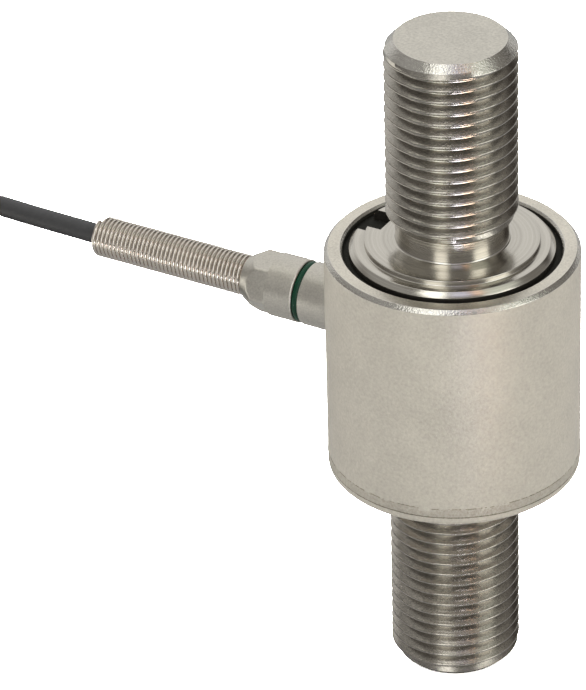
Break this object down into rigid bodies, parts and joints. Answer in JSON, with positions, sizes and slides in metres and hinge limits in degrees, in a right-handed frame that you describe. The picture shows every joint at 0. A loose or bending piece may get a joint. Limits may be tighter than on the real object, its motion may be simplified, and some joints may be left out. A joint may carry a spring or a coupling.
{
  "type": "tension compression force sensor",
  "caption": "In-line force sensor with two male threaded studs, a welded round housing, a side cable gland with bend protection spring, and a coiled cable with bare leads.",
  "frame": {"origin": "centre of the lower stud's flat end face, on which the sensor stands", "axes": "+Z along the load axis, from the lower stud to the upper stud; the cable leaves along -X"},
  "size_m": [0.1376, 0.0483, 0.0864],
  "materials": {
    "turned_steel": "turned stainless steel, satin to bright",
    "blasted_steel": "fine blasted stainless steel, matt satin",
    "weld_steel": "blasted weld bead, slightly rough",
    "gland_steel": "turned and blasted stainless steel",
    "spring_steel": "bright drawn spring wire",
    "black_sealant": "matt black",
    "black_rubber": "matt black",
    "green_seal": "dark green, slightly glossy",
    "brass_ring": "turned",
    "board": "solder mask over glass fibre laminate",
    "gauge_foil": "amber carrier film with metal foil grid",
    "resistor_body": "ceramic chip with tinned ends",
    "copper_wire": "enamelled copper",
    "cable_jacket": "matt charcoal black jacket",
    "tie_plastic": "matt black strap",
    "shrink_sleeve": "satin black",
    "core_red": "satin",
    "core_black": "satin",
    "core_green": "satin",
    "core_white": "satin",
    "shield_braid": "tinned twisted wire"
  },
  "bodies": {
    "root": {"measuring_body": "turned_steel", "housing_sleeve": "blasted_steel", "housing_weld": "weld_steel", "gap_sealant": "black_sealant", "bridge_board": "board", "gauge_leads": "copper_wire", "cable_boss": "blasted_steel", "seal_ring": "green_seal", "gland_nut": "gland_steel", "cable_grommet": "black_rubber", "pressure_ring": "brass_ring", "bend_spring": "spring_steel", "cable_inner_end": "cable_jacket", "cable": "cable_jacket", "cable_coil": "cable_jacket", "coil_tie": "tie_plastic", "cable_tail": "cable_jacket", "cable_end_sleeve": "shrink_sleeve", "strain_gauge_right": "gauge_foil", "strain_gauge_back": "gauge_foil", "strain_gauge_left": "gauge_foil", "strain_gauge_front": "gauge_foil", "zero_resistor": "resistor_body", "span_resistor": "resistor_body", "temperature_resistor": "resistor_body", "core_red": "core_red", "core_black": "core_black", "core_green": "core_green", "core_white": "core_white", "lead_red": "core_red", "lead_black": "core_black", "lead_green": "core_green", "lead_white": "core_white", "lead_shield": "shield_braid"}
  },
  "joints": []
}
